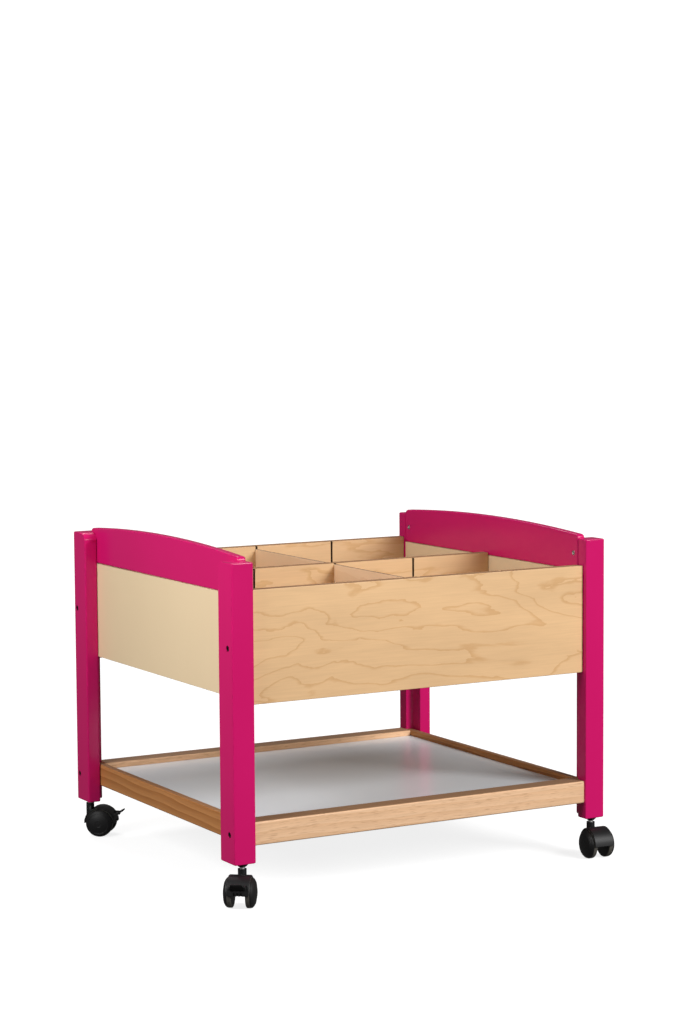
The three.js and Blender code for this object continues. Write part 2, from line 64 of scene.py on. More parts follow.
# Legs: four hardwood posts, rebated for the end pieces and cut to a quarter round at the top
# inner corner. Their arrises are rounded on the router, and they are sprayed with a pink
# lacquer that is glossy enough to show soft highlights along the edges.
def shader_node(tree, kind, settings=None, **values):
    """Add a shader node, set its properties, and set or link its named inputs."""
    made = tree.nodes.new(kind)
    for name, value in (settings or {}).items():
        setattr(made, name, value)
    for name, value in values.items():
        socket = made.inputs[int(name[3:]) if name.startswith("in_") else name.replace("_", " ")]
        if isinstance(value, bpy.types.NodeSocket):
            tree.links.new(value, socket)
        else:
            socket.default_value = value
    return made


def new_finish(name):
    """Start a material and hand back its node tree and its shader."""
    finish = bpy.data.materials.new(name)
    finish.use_nodes = True
    tree = finish.node_tree
    return finish, tree, tree.nodes["Principled BSDF"]


def finished_copy(node, piece, body, finish, soften=0.0, over=55, shortest=0.0, cutter=None):
    """Weld a copy of a solid, round its outer arrises and shade it, standing for the solid."""
    weld_distance = 0.00002
    flat_within = math.radians(0.4)
    crease = math.radians(50)
    bpy.ops.object.select_all(action="DESELECT")
    solid = frame["nodes"][node]
    solid.select_set(True)
    bpy.context.view_layer.objects.active = solid
    bpy.ops.object.duplicate()
    copy = bpy.context.view_layer.objects.active
    del copy["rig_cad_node"]
    copy.name = piece
    copy.data.name = piece
    bpy.ops.object.mode_set(mode="EDIT")
    bpy.ops.mesh.select_all(action="SELECT")
    bpy.ops.mesh.remove_doubles(threshold=weld_distance)
    bpy.ops.mesh.dissolve_limited(angle_limit=flat_within)
    bpy.ops.object.mode_set(mode="OBJECT")
    if cutter:
        trim = copy.modifiers.new("trim", "BOOLEAN")
        trim.operation = "DIFFERENCE"
        trim.object = cutter
        bpy.ops.object.modifier_apply(modifier=trim.name)
        bpy.data.objects.remove(cutter)
    if soften:
        shape = bmesh.new()
        shape.from_mesh(copy.data)
        weight = shape.edges.layers.float.new("bevel_weight_edge")
        for edge in shape.edges:
            sharp = edge.is_convex and edge.calc_face_angle(0.0) > math.radians(over)
            edge[weight] = 1.0 if sharp and edge.calc_length() > shortest else 0.0
        shape.to_mesh(copy.data)
        shape.free()
        rounding = copy.modifiers.new("rounding", "BEVEL")
        rounding.width = soften
        rounding.segments = 3
        rounding.limit_method = "WEIGHT"
        bpy.ops.object.modifier_apply(modifier=rounding.name)
    bpy.ops.object.shade_smooth_by_angle(angle=crease)
    flats = copy.modifiers.new("flats", "WEIGHTED_NORMAL")
    flats.keep_sharp = True
    bpy.ops.object.modifier_apply(modifier=flats.name)
    copy.data.materials.clear()
    copy.data.materials.append(finish)
    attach(copy, body)
    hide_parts(node)
    return copy


def surface_ripple():
    """Fine unevenness of a sprayed or moulded skin: a slow tone and a small height."""
    group = bpy.data.node_groups.new("surface_ripple", "ShaderNodeTree")
    group.interface.new_socket("Vector", in_out="INPUT", socket_type="NodeSocketVector")
    group.interface.new_socket("Size", in_out="INPUT", socket_type="NodeSocketFloat")
    group.interface.new_socket("Tone", in_out="OUTPUT", socket_type="NodeSocketFloat")
    group.interface.new_socket("Height", in_out="OUTPUT", socket_type="NodeSocketFloat")
    entry = group.nodes.new("NodeGroupInput")
    leave = group.nodes.new("NodeGroupOutput")
    slow = shader_node(group, "ShaderNodeTexNoise", Vector=entry.outputs["Vector"],
                       Scale=7.0, Detail=3.0, Roughness=0.5)
    fine = shader_node(group, "ShaderNodeTexNoise", Vector=entry.outputs["Vector"],
                       Scale=entry.outputs["Size"], Detail=2.0, Roughness=0.5)
    group.links.new(slow.outputs["Fac"], leave.inputs["Tone"])
    group.links.new(fine.outputs["Fac"], leave.inputs["Height"])
    return group


ripple = surface_ripple()

pink_lacquer, tree, shader = new_finish("pink_lacquer")
place = tree.nodes.new("ShaderNodeTexCoord")
skin = shader_node(tree, "ShaderNodeGroup", {"node_tree": ripple},
                   Vector=place.outputs["Object"], Size=420.0)
tint = shader_node(tree, "ShaderNodeMix", {"data_type": "RGBA"}, in_0=skin.outputs["Tone"],
                   in_6=(0.585, 0.0060, 0.122, 1), in_7=(0.640, 0.0080, 0.145, 1))
sheen = shader_node(tree, "ShaderNodeMapRange", Value=skin.outputs["Tone"],
                    To_Min=0.20, To_Max=0.25)
peel = shader_node(tree, "ShaderNodeBump", Height=skin.outputs["Height"], Strength=0.06,
                   Distance=0.0006)
tree.links.new(tint.outputs[2], shader.inputs["Base Color"])
tree.links.new(sheen.outputs["Result"], shader.inputs["Roughness"])
tree.links.new(peel.outputs["Normal"], shader.inputs["Normal"])
shader.inputs["Specular IOR Level"].default_value = 0.28


def corner_cutter(near_x, tip_y, top_z, inward, radius):
    """The waste outside a quarter round at the top of a leg, across its whole width."""
    spare = 0.006
    block_width = 0.080
    roller_width = 0.100
    size = radius + spare
    block_middle = (near_x, tip_y + inward * (radius - size / 2), top_z - radius + size / 2)
    roller_middle = (near_x, tip_y + inward * radius, top_z - radius)
    bpy.ops.object.select_all(action="DESELECT")
    bpy.ops.mesh.primitive_cube_add(size=1.0, location=block_middle)
    block = bpy.context.active_object
    block.scale = (block_width, size, size)
    bpy.ops.object.transform_apply(location=True, rotation=True, scale=True)
    bpy.ops.mesh.primitive_cylinder_add(vertices=48, radius=radius, depth=roller_width,
                                        location=roller_middle,
                                        rotation=(0.0, math.radians(90), 0.0))
    roller = bpy.context.active_object
    hollow = block.modifiers.new("hollow", "BOOLEAN")
    hollow.operation = "DIFFERENCE"
    hollow.object = roller
    bpy.context.view_layer.objects.active = block
    bpy.ops.object.modifier_apply(modifier=hollow.name)
    bpy.data.objects.remove(roller)
    return block


corners = ("front_left", "front_right", "back_left", "back_right")
quarter_round = 0.018
leg_arris = 0.0014
arris_over = 35
arris_shortest = 0.0020
for corner in corners:
    low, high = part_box("leg_" + corner)
    at_front = corner.startswith("front")
    waste = corner_cutter((low.x + high.x) / 2, high.y if at_front else low.y, high.z,
                          -1.0 if at_front else 1.0, quarter_round)
    leg = finished_copy("leg_" + corner, "leg_post_" + corner, "frame", pink_lacquer, leg_arris,
                        arris_over, arris_shortest, waste)


# End rails: arched boards in the same pink lacquer, let into the leg rebates, with the top
# edge rounded over where hands push the bin along.
for side in ("left", "right"):
    rail = finished_copy("end_rail_" + side, "arched_rail_" + side, "frame", pink_lacquer)


# End panels: cream-faced board under the arched rails, a thin melamine skin with a very
# fine pebble, sitting flush with the rail above.
cream_board, tree, shader = new_finish("cream_board")
place = tree.nodes.new("ShaderNodeTexCoord")
skin = shader_node(tree, "ShaderNodeGroup", {"node_tree": ripple},
                   Vector=place.outputs["Object"], Size=900.0)
tint = shader_node(tree, "ShaderNodeMix", {"data_type": "RGBA"}, in_0=skin.outputs["Tone"],
                   in_6=(0.79, 0.610, 0.385, 1), in_7=(0.83, 0.648, 0.415, 1))
pebble = shader_node(tree, "ShaderNodeBump", Height=skin.outputs["Height"], Strength=0.08,
                     Distance=0.0003)
tree.links.new(tint.outputs[2], shader.inputs["Base Color"])
tree.links.new(pebble.outputs["Normal"], shader.inputs["Normal"])
shader.inputs["Roughness"].default_value = 0.48
for side in ("left", "right"):
    panel = finished_copy("end_panel_" + side, "cream_panel_" + side, "frame", cream_board)


# Bin panels: birch plywood front, back and middle boards. The face veneer runs lengthways
# with open arched figure, the cut edges show the layers, and the boards are clear lacquered.
def timber_figure():
    """Growth lines of a peeled or sawn face, fine fibres and short flecks, for grain along x."""
    group = bpy.data.node_groups.new("timber_figure", "ShaderNodeTree")
    for name, kind in (("Vector", "NodeSocketVector"), ("Swirl", "NodeSocketFloat"),
                       ("Lines", "NodeSocketFloat")):
        group.interface.new_socket(name, in_out="INPUT", socket_type=kind)
    for name in ("Ring", "Fibre", "Fleck", "Cloud"):
        group.interface.new_socket(name, in_out="OUTPUT", socket_type="NodeSocketFloat")
    entry = group.nodes.new("NodeGroupInput")
    leave = group.nodes.new("NodeGroupOutput")
    long = shader_node(group, "ShaderNodeMapping", Vector=entry.outputs["Vector"],
                       Scale=(2.6, 8.5, 8.5))
    growth = shader_node(group, "ShaderNodeTexNoise", Vector=long.outputs["Vector"],
                         Scale=1.0, Detail=8.0, Roughness=0.43, Distortion=0.3)
    swirl = shader_node(group, "ShaderNodeMath", {"operation": "MULTIPLY"},
                        in_0=growth.outputs["Fac"], in_1=entry.outputs["Swirl"])
    parts = shader_node(group, "ShaderNodeSeparateXYZ", Vector=entry.outputs["Vector"])
    across = shader_node(group, "ShaderNodeMath", {"operation": "ADD"},
                         in_0=parts.outputs["Y"], in_1=parts.outputs["Z"])
    count = shader_node(group, "ShaderNodeMath", {"operation": "MULTIPLY_ADD"},
                        in_0=across.outputs[0], in_1=entry.outputs["Lines"],
                        in_2=swirl.outputs[0])
    ring = shader_node(group, "ShaderNodeMath", {"operation": "FRACT"}, in_0=count.outputs[0])
    drawn = shader_node(group, "ShaderNodeMapping", Vector=entry.outputs["Vector"],
                        Scale=(14.0, 420.0, 420.0))
    fibre = shader_node(group, "ShaderNodeTexNoise", Vector=drawn.outputs["Vector"],
                        Scale=1.0, Detail=4.0, Roughness=0.65)
    short = shader_node(group, "ShaderNodeMapping", Vector=entry.outputs["Vector"],
                        Scale=(55.0, 800.0, 800.0))
    speck = shader_node(group, "ShaderNodeTexNoise", Vector=short.outputs["Vector"],
                        Scale=1.0, Detail=1.0, Roughness=0.4)
    fleck = shader_node(group, "ShaderNodeMapRange", Value=speck.outputs["Fac"],
                        From_Min=0.58, From_Max=0.70)
    broad = shader_node(group, "ShaderNodeMapping", Vector=entry.outputs["Vector"],
                        Scale=(5.0, 22.0, 22.0))
    cloud = shader_node(group, "ShaderNodeTexNoise", Vector=broad.outputs["Vector"],
                        Scale=1.0, Detail=3.0, Roughness=0.55)
    group.links.new(ring.outputs[0], leave.inputs["Ring"])
    group.links.new(fibre.outputs["Fac"], leave.inputs["Fibre"])
    group.links.new(fleck.outputs["Result"], leave.inputs["Fleck"])
    group.links.new(cloud.outputs["Fac"], leave.inputs["Cloud"])
    return group


timber = timber_figure()


def birch_finish(name, pale, deep, shift, middle, half):
    """Birch plywood with its figure from the place shift, layered edges and painted shade in the
    sawn grooves.
    """
    layer_depth = 0.0014
    groove_from = half - 0.0013
    groove_full = half - 0.0018
    finish, tree, shader = new_finish(name)
    place = tree.nodes.new("ShaderNodeTexCoord")
    moved = shader_node(tree, "ShaderNodeMapping", Vector=place.outputs["Object"], Location=shift)
    grain = shader_node(tree, "ShaderNodeGroup", {"node_tree": timber},
                        Vector=moved.outputs["Vector"], Swirl=11.0, Lines=9.0)
    late = shader_node(tree, "ShaderNodeMapRange", {"interpolation_type": "SMOOTHERSTEP"},
                       Value=grain.outputs["Ring"], From_Min=0.80, From_Max=1.0, To_Max=0.7)
    veneer = shader_node(tree, "ShaderNodeMix", {"data_type": "RGBA"},
                         in_0=late.outputs["Result"], in_6=pale, in_7=deep)
    fibres = shader_node(tree, "ShaderNodeMapRange", Value=grain.outputs["Fibre"],
                         From_Min=0.35, From_Max=0.75, To_Min=1.03, To_Max=0.95)
    clouds = shader_node(tree, "ShaderNodeMapRange", Value=grain.outputs["Cloud"],
                         From_Min=0.3, From_Max=0.7, To_Min=0.93, To_Max=1.05)
    streaks = shader_node(tree, "ShaderNodeMath", {"operation": "MULTIPLY"},
                          in_0=fibres.outputs["Result"], in_1=clouds.outputs["Result"])
    face = shader_node(tree, "ShaderNodeVectorMath", {"operation": "SCALE"},
                       in_0=veneer.outputs[2], Scale=streaks.outputs[0])
    across = shader_node(tree, "ShaderNodeSeparateXYZ", Vector=place.outputs["Object"])
    layers = shader_node(tree, "ShaderNodeMath", {"operation": "PINGPONG"},
                         in_0=across.outputs["Y"], in_1=layer_depth)
    layer = shader_node(tree, "ShaderNodeMapRange", {"interpolation_type": "SMOOTHSTEP"},
                        Value=layers.outputs[0], From_Min=0.0004, From_Max=0.0010)
    edge = shader_node(tree, "ShaderNodeMix", {"data_type": "RGBA"}, in_0=layer.outputs["Result"],
                       in_6=(0.430, 0.240, 0.115, 1), in_7=(0.190, 0.092, 0.040, 1))
    outward = shader_node(tree, "ShaderNodeSeparateXYZ", Vector=place.outputs["Normal"])
    upward = shader_node(tree, "ShaderNodeMath", {"operation": "ABSOLUTE"},
                         in_0=outward.outputs["Z"])
    on_edge = shader_node(tree, "ShaderNodeMapRange", Value=upward.outputs[0],
                          From_Min=0.4, From_Max=0.7)
    from_middle = shader_node(tree, "ShaderNodeMath", {"operation": "SUBTRACT"},
                              in_0=across.outputs["Y"], in_1=middle)
    depth = shader_node(tree, "ShaderNodeMath", {"operation": "ABSOLUTE"},
                        in_0=from_middle.outputs[0])
    below = shader_node(tree, "ShaderNodeMapRange", Value=depth.outputs[0],
                        From_Min=groove_from, From_Max=groove_full)
    upright = shader_node(tree, "ShaderNodeMapRange", Value=upward.outputs[0],
                          From_Min=0.6, From_Max=0.3)
    groove_shade_mask = shader_node(tree, "ShaderNodeMath", {"operation": "MULTIPLY"},
                            in_0=below.outputs["Result"], in_1=upright.outputs["Result"])
    edged = shader_node(tree, "ShaderNodeMix", {"data_type": "RGBA"},
                        in_0=on_edge.outputs["Result"], in_6=face.outputs["Vector"],
                        in_7=edge.outputs[2])
    # painted shade: the groove walls are coloured near black
    colour = shader_node(tree, "ShaderNodeMix", {"data_type": "RGBA"}, in_0=groove_shade_mask.outputs[0],
                         in_6=edged.outputs[2], in_7=(0.030, 0.014, 0.007, 1))
    relief = shader_node(tree, "ShaderNodeBump", Height=grain.outputs["Fibre"], Strength=0.08,
                         Distance=0.0003)
    gloss = shader_node(tree, "ShaderNodeMapRange", Value=on_edge.outputs["Result"],
                        To_Min=0.42, To_Max=0.85)
    tree.links.new(colour.outputs[2], shader.inputs["Base Color"])
    tree.links.new(gloss.outputs["Result"], shader.inputs["Roughness"])
    tree.links.new(relief.outputs["Normal"], shader.inputs["Normal"])
    shader.inputs["Specular IOR Level"].default_value = 0.25
    return finish


for board, shift, pale, deep in (
    ("bin_front_panel", (0.35, 0.0, 0.10), (0.775, 0.500, 0.265, 1), (0.640, 0.365, 0.158, 1)),
    # painted shade: the back and middle boards are darker than the front to shade the inside of
    # the bin
    ("bin_back_panel", (1.10, 0.0, 0.30), (0.660, 0.445, 0.245, 1), (0.560, 0.340, 0.155, 1)),
    ("bin_middle_divider", (2.20, 0.0, 0.55), (0.670, 0.450, 0.245, 1), (0.560, 0.340, 0.150, 1)),
):
    low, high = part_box(board)
    birch = birch_finish(board + "_birch", pale, deep, shift, (low.y + high.y) / 2,
                         (high.y - low.y) / 2)
    sheet = finished_copy(board, board.replace("bin_", "plywood_"), "frame", birch)


# Bin floor and cleats: a thin plywood bottom resting on two beech strips glued and pinned to
# the inside of the front and back panels.
floor_birch, tree, shader = new_finish("floor_birch")
place = tree.nodes.new("ShaderNodeTexCoord")
flat = shader_node(tree, "ShaderNodeMapping", Vector=place.outputs["Object"],
                   Location=(0.1, 0.05, -0.27))
grain = shader_node(tree, "ShaderNodeGroup", {"node_tree": timber}, Vector=flat.outputs["Vector"],
                    Swirl=8.0, Lines=14.0)
tint = shader_node(tree, "ShaderNodeMix", {"data_type": "RGBA"}, in_0=grain.outputs["Ring"],
                   in_6=(0.70, 0.46, 0.25, 1), in_7=(0.62, 0.39, 0.19, 1))
relief = shader_node(tree, "ShaderNodeBump", Height=grain.outputs["Fibre"], Strength=0.1,
                     Distance=0.0004)
tree.links.new(tint.outputs[2], shader.inputs["Base Color"])
tree.links.new(relief.outputs["Normal"], shader.inputs["Normal"])
shader.inputs["Roughness"].default_value = 0.5
floor_arris = 0.0006
bottom = finished_copy("bin_floor", "plywood_bottom", "frame", floor_birch, floor_arris)


# Beech strips: the same steamed beech is used for the cleats and for the shelf frame, pink
# brown with short ray flecks along the grain, and a painted shade makes the top faces browner.
def beech_finish(name, turn, pale, deep, top):
    """Steamed beech in two tones with painted top shade; grain along x, or y when turned a
    quarter.
    """
    finish, tree, shader = new_finish(name)
    place = tree.nodes.new("ShaderNodeTexCoord")
    laid = shader_node(tree, "ShaderNodeMapping", Vector=place.outputs["Object"],
                       Rotation=(0.0, 0.0, turn), Location=(0.07, 0.03, -0.14))
    grain = shader_node(tree, "ShaderNodeGroup", {"node_tree": timber},
                        Vector=laid.outputs["Vector"], Swirl=2.5, Lines=70.0)
    ground = shader_node(tree, "ShaderNodeMix", {"data_type": "RGBA"}, in_0=grain.outputs["Ring"],
                         in_6=pale, in_7=deep)
    fibres = shader_node(tree, "ShaderNodeMapRange", Value=grain.outputs["Fibre"],
                         From_Min=0.3, From_Max=0.75, To_Min=1.06, To_Max=0.88)
    streaked = shader_node(tree, "ShaderNodeVectorMath", {"operation": "SCALE"},
                           in_0=ground.outputs[2], Scale=fibres.outputs["Result"])
    amount = shader_node(tree, "ShaderNodeMath", {"operation": "MULTIPLY"},
                         in_0=grain.outputs["Fleck"], in_1=0.35)
    flecked = shader_node(tree, "ShaderNodeMix", {"data_type": "RGBA"}, in_0=amount.outputs[0],
                          in_6=streaked.outputs["Vector"], in_7=(0.36, 0.17, 0.08, 1))
    outward = shader_node(tree, "ShaderNodeSeparateXYZ", Vector=place.outputs["Normal"])
    # painted shade: faces that point up are mixed towards the darker top colour
    painted_shade_top_mask = shader_node(tree, "ShaderNodeMapRange", Value=outward.outputs["Z"],
                         From_Min=0.70, From_Max=0.97)
    colour = shader_node(tree, "ShaderNodeMix", {"data_type": "RGBA"},
                         in_0=painted_shade_top_mask.outputs["Result"], in_6=flecked.outputs[2], in_7=top)
    relief = shader_node(tree, "ShaderNodeBump", Height=grain.outputs["Fibre"], Strength=0.1,
                         Distance=0.0004)
    tree.links.new(colour.outputs[2], shader.inputs["Base Color"])
    tree.links.new(relief.outputs["Normal"], shader.inputs["Normal"])
    shader.inputs["Roughness"].default_value = 0.5
    shader.inputs["Specular IOR Level"].default_value = 0.2
    return finish


# the last colour of each beech is the painted shade for its top faces
beech_along = beech_finish("beech_along", 0.0, (0.850, 0.550, 0.335, 1), (0.780, 0.480, 0.275, 1),
                           (0.300, 0.170, 0.092, 1))
# painted shade: the beech for the shelf's end rails is a darker copy of the same wood
shaded_beech_across = beech_finish("shaded_beech_across", math.radians(90), (0.560, 0.250, 0.086, 1),
                            (0.380, 0.148, 0.042, 1), (0.300, 0.150, 0.070, 1))
for row in ("front", "back"):
    cleat = finished_copy("floor_cleat_" + row, "beech_cleat_" + row, "frame", beech_along)


# Cross dividers: thin hardwood-faced boards with rounded top corners that drop into the
# grooves and lift out to change the compartments.
divider_board, tree, shader = new_finish("divider_board")
place = tree.nodes.new("ShaderNodeTexCoord")
upright = shader_node(tree, "ShaderNodeMapping", Vector=place.outputs["Object"],
                      Rotation=(0.0, 0.0, math.radians(90)), Location=(0.02, 0.06, -0.39))
grain = shader_node(tree, "ShaderNodeGroup", {"node_tree": timber},
                    Vector=upright.outputs["Vector"], Swirl=6.0, Lines=20.0)
tint = shader_node(tree, "ShaderNodeMix", {"data_type": "RGBA"}, in_0=grain.outputs["Ring"],
                   in_6=(0.92, 0.690, 0.450, 1), in_7=(0.88, 0.640, 0.400, 1))
outward = shader_node(tree, "ShaderNodeSeparateXYZ", Vector=place.outputs["Normal"])
facing = shader_node(tree, "ShaderNodeMath", {"operation": "ABSOLUTE"}, in_0=outward.outputs["X"])
on_edge = shader_node(tree, "ShaderNodeMapRange", Value=facing.outputs[0],
                      From_Min=0.75, From_Max=0.6)
colour = shader_node(tree, "ShaderNodeMix", {"data_type": "RGBA"}, in_0=on_edge.outputs["Result"],
                     in_6=tint.outputs[2], in_7=(0.17, 0.08, 0.035, 1))
relief = shader_node(tree, "ShaderNodeBump", Height=grain.outputs["Fibre"], Strength=0.1,
                     Distance=0.0004)
tree.links.new(colour.outputs[2], shader.inputs["Base Color"])
tree.links.new(relief.outputs["Normal"], shader.inputs["Normal"])
shader.inputs["Roughness"].default_value = 0.65
for row in ("front", "back"):
    divider = finished_copy("cross_divider_" + row, "thin_divider_" + row, "divider_" + row,
                            divider_board)


# Shelf frame: four beech rails with rounded edges. The long ones butt on the legs, the short
# ones sit in the leg rebates, and the long ones carry the board on a ledge.
for row in ("front", "back"):
    rail = finished_copy("shelf_rail_" + row, "beech_rail_" + row, "frame", beech_along)
# the end rails take the darker beech, a painted shade
for side in ("left", "right"):
    rail = finished_copy("shelf_rail_" + side, "beech_rail_" + side, "frame", shaded_beech_across)


# Shelf board: chipboard with a pale grey laminate, satin enough to hold a blurred reflection
# of the legs.
grey_laminate, tree, shader = new_finish("grey_laminate")
place = tree.nodes.new("ShaderNodeTexCoord")
skin = shader_node(tree, "ShaderNodeGroup", {"node_tree": ripple},
                   Vector=place.outputs["Object"], Size=1300.0)
tint = shader_node(tree, "ShaderNodeMix", {"data_type": "RGBA"}, in_0=skin.outputs["Tone"],
                   in_6=(0.705, 0.738, 0.775, 1), in_7=(0.735, 0.768, 0.805, 1))
sheen = shader_node(tree, "ShaderNodeMapRange", Value=skin.outputs["Tone"],
                    To_Min=0.24, To_Max=0.28)
pebble = shader_node(tree, "ShaderNodeBump", Height=skin.outputs["Height"], Strength=0.05,
                     Distance=0.0003)
tree.links.new(tint.outputs[2], shader.inputs["Base Color"])
tree.links.new(sheen.outputs["Result"], shader.inputs["Roughness"])
tree.links.new(pebble.outputs["Normal"], shader.inputs["Normal"])
shader.inputs["Specular IOR Level"].default_value = 0.50
laminate_arris = 0.0004
board = finished_copy("shelf_board", "laminate_board", "frame", grey_laminate, laminate_arris)


# Connector screws: blackened steel with a hexagon key recess, sunk in the legs, and shorter
# zinc-plated ones of the same pattern flush in the arched rails.
def steel_finish(name, colour, rough):
    """Bare or plated steel with fine rolling marks in its gloss."""
    finish, tree, shader = new_finish(name)
    place = tree.nodes.new("ShaderNodeTexCoord")
    skin = shader_node(tree, "ShaderNodeGroup", {"node_tree": ripple},
                       Vector=place.outputs["Object"], Size=900.0)
    sheen = shader_node(tree, "ShaderNodeMapRange", Value=skin.outputs["Height"],
                        To_Min=rough, To_Max=rough + 0.2)
    tree.links.new(sheen.outputs["Result"], shader.inputs["Roughness"])
    shader.inputs["Base Color"].default_value = colour
    shader.inputs["Metallic"].default_value = 1.0
    return finish


zinc_steel = steel_finish("zinc_steel", (0.80, 0.79, 0.78, 1), 0.38)
dull_zinc = steel_finish("dull_zinc", (0.74, 0.71, 0.71, 1), 0.42)
black_steel = steel_finish("black_steel", (0.018, 0.017, 0.017, 1), 0.38)


def key_screw(name, head, deep, shank, length, finish):
    """A round head with a hexagon recess on a plain shank, along +x from the head's face."""
    key_radius = 0.0024
    key_length = 0.0036
    head_arris = 0.00035
    bottom_radius = 0.0016
    bottom_depth = 0.0019
    bpy.ops.object.select_all(action="DESELECT")
    bpy.ops.mesh.primitive_cylinder_add(vertices=36, radius=head, depth=deep,
                                        location=(deep / 2, 0.0, 0.0),
                                        rotation=(0.0, math.radians(90), 0.0))
    screw = bpy.context.active_object
    screw.name = name
    bpy.ops.object.transform_apply(location=True, rotation=True, scale=True)
    for face in screw.data.polygons:
        face.select = face.normal.x > 0.9
    bpy.ops.object.mode_set(mode="EDIT")
    bpy.ops.mesh.select_mode(type="FACE")
    bpy.ops.mesh.inset(thickness=head - shank)
    bpy.ops.mesh.extrude_region_move(TRANSFORM_OT_translate={"value": (length - deep, 0.0, 0.0)})
    bpy.ops.object.mode_set(mode="OBJECT")
    bpy.ops.mesh.primitive_cylinder_add(vertices=6, radius=key_radius, depth=key_length,
                                        rotation=(0.0, math.radians(90), 0.0))
    key = bpy.context.active_object
    recess = screw.modifiers.new("recess", "BOOLEAN")
    recess.operation = "DIFFERENCE"
    recess.object = key
    rounding = screw.modifiers.new("rounding", "BEVEL")
    rounding.width = head_arris
    rounding.segments = 2
    rounding.limit_method = "ANGLE"
    rounding.angle_limit = math.radians(40)
    bpy.context.view_layer.objects.active = screw
    bpy.ops.object.modifier_apply(modifier=recess.name)
    bpy.ops.object.modifier_apply(modifier=rounding.name)
    bpy.data.objects.remove(key)
    bpy.ops.object.select_all(action="DESELECT")
    screw.select_set(True)
    bpy.ops.object.shade_smooth_by_angle(angle=math.radians(40))
    screw.data.materials.append(finish)
    screw.data.materials.append(black_steel)
    # painted shade: the bottom of the key recess takes black steel
    for face in screw.data.polygons:
        reach = math.hypot(face.center.y, face.center.z)
        recess_shade = reach < bottom_radius and face.center.x < bottom_depth
        face.material_index = 1 if recess_shade else 0
    return screw


def placed_copy(model, name, spot, turn):
    """Copy a modelled piece with its own mesh, turn it about z and set it down at spot."""
    bpy.ops.object.select_all(action="DESELECT")
    model.select_set(True)
    bpy.context.view_layer.objects.active = model
    bpy.ops.object.duplicate()
    copy = bpy.context.view_layer.objects.active
    copy.name = name
    copy.data.name = name
    copy.rotation_euler = (0.0, 0.0, turn)
    copy.location = spot
    bpy.ops.object.transform_apply(location=True, rotation=True, scale=True)
    return copy


low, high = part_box("screw_bin_front_left")
proud = 0.0022
leg_head = 0.003
shank_radius = 0.003
leg_screw = key_screw("leg_screw", (high.z - low.z) / 2, leg_head + proud, shank_radius,
                      high.x - low.x + proud, black_steel)
for row in ("bin", "shelf"):
    for corner in corners:
        node = "screw_" + row + "_" + corner
        low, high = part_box(node)
        on_left = corner.endswith("left")
        face = low.x - proud if on_left else high.x + proud
        spot = (face, (low.y + high.y) / 2, (low.z + high.z) / 2)
        screw = placed_copy(leg_screw, "key_" + node, spot, 0.0 if on_left else math.pi)
        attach(screw, "frame")
        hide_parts(node)
bpy.data.objects.remove(leg_screw)

low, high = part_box("screw_rail_front_left")
rail_head = 0.0024
rail_screw = key_screw("rail_screw", (high.z - low.z) / 2, rail_head, shank_radius,
                       high.x - low.x, dull_zinc)
for row in ("front", "back"):
    for side in ("left", "right"):
        node = "screw_rail_" + row + "_" + side
        low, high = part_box(node)
        spot = (high.x if side == "left" else low.x, (low.y + high.y) / 2, (low.z + high.z) / 2)
        screw = placed_copy(rail_screw, "key_" + node, spot, math.pi if side == "left" else 0.0)
        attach(screw, "frame")
        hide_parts(node)
bpy.data.objects.remove(rail_screw)


# Castors: twin-wheel swivel castors in black nylon on a bare steel stem that pushes into a
# plastic socket in the leg. Two of them have a toe brake.
black_nylon, tree, shader = new_finish("black_nylon")
place = tree.nodes.new("ShaderNodeTexCoord")
skin = shader_node(tree, "ShaderNodeGroup", {"node_tree": ripple},
                   Vector=place.outputs["Object"], Size=1600.0)
tint = shader_node(tree, "ShaderNodeMix", {"data_type": "RGBA"}, in_0=skin.outputs["Tone"],
                   in_6=(0.006, 0.006, 0.0065, 1), in_7=(0.010, 0.010, 0.0105, 1))
sheen = shader_node(tree, "ShaderNodeMapRange", Value=skin.outputs["Tone"],
                    To_Min=0.42, To_Max=0.52)
pebble = shader_node(tree, "ShaderNodeBump", Height=skin.outputs["Height"], Strength=0.15,
                     Distance=0.0003)
tree.links.new(tint.outputs[2], shader.inputs["Base Color"])
tree.links.new(sheen.outputs["Result"], shader.inputs["Roughness"])
tree.links.new(pebble.outputs["Normal"], shader.inputs["Normal"])
shader.inputs["Specular IOR Level"].default_value = 0.32

nylon_tread, tree, shader = new_finish("nylon_tread")
place = tree.nodes.new("ShaderNodeTexCoord")
skin = shader_node(tree, "ShaderNodeGroup", {"node_tree": ripple},
                   Vector=place.outputs["Object"], Size=500.0)
tint = shader_node(tree, "ShaderNodeMix", {"data_type": "RGBA"}, in_0=skin.outputs["Height"],
                   in_6=(0.045, 0.041, 0.034, 1), in_7=(0.125, 0.115, 0.098, 1))
scuff = shader_node(tree, "ShaderNodeBump", Height=skin.outputs["Height"], Strength=0.2,
                    Distance=0.0003)
tree.links.new(tint.outputs[2], shader.inputs["Base Color"])
tree.links.new(scuff.outputs["Normal"], shader.inputs["Normal"])
shader.inputs["Roughness"].default_value = 0.62

for corner in corners:
    castor = "castor_" + corner
    for solid, piece, body, finish, arris, slot in (
        ("socket_", "nylon_socket_", "frame", black_nylon, 0.0004, "black_plastic"),
        ("stem_", "steel_stem_", "frame", zinc_steel, 0.0006, "steel"),
        ("hood_", "nylon_hood_", castor, black_nylon, 0.0005, "black_plastic"),
        ("axle_", "steel_axle_", castor, zinc_steel, 0.0005, "steel"),
    ):
        made = finished_copy(solid + corner, piece + corner, body, finish, arris)
lever_arris = 0.0003
for corner in ("front_left", "back_left"):
    lever = finished_copy("brake_lever_" + corner, "toe_brake_" + corner, "brake_" + corner,
                          black_nylon, lever_arris)


